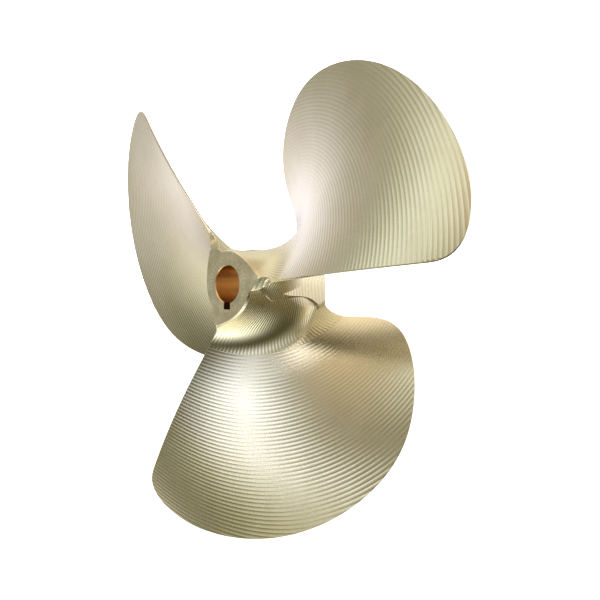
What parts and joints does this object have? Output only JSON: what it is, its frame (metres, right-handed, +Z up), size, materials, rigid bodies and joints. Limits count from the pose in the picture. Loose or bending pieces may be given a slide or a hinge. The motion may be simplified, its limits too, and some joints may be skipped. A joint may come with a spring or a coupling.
{
  "type": "boat propeller",
  "caption": "Left-hand fixed-pitch inboard boat propeller with wide milled bronze blades on a hub with a keyed taper bore; turns shaft power into thrust.",
  "frame": {"origin": "centre of the aft hub face, on the shaft axis", "axes": "+Y along the shaft axis, forward; +X to the right seen from aft; +Z up; the keyway points to -Z"},
  "size_m": [0.3165, 0.0851, 0.3003],
  "materials": {
    "bronze_hub": "as milled, fine cutter marks, satin",
    "bronze_blade": "as milled, fine cutter marks along arcs about the shaft, satin"
  },
  "bodies": {
    "root": {"hub": "bronze_hub", "blade_1": "bronze_blade", "blade_2": "bronze_blade", "blade_3": "bronze_blade"}
  },
  "joints": []
}
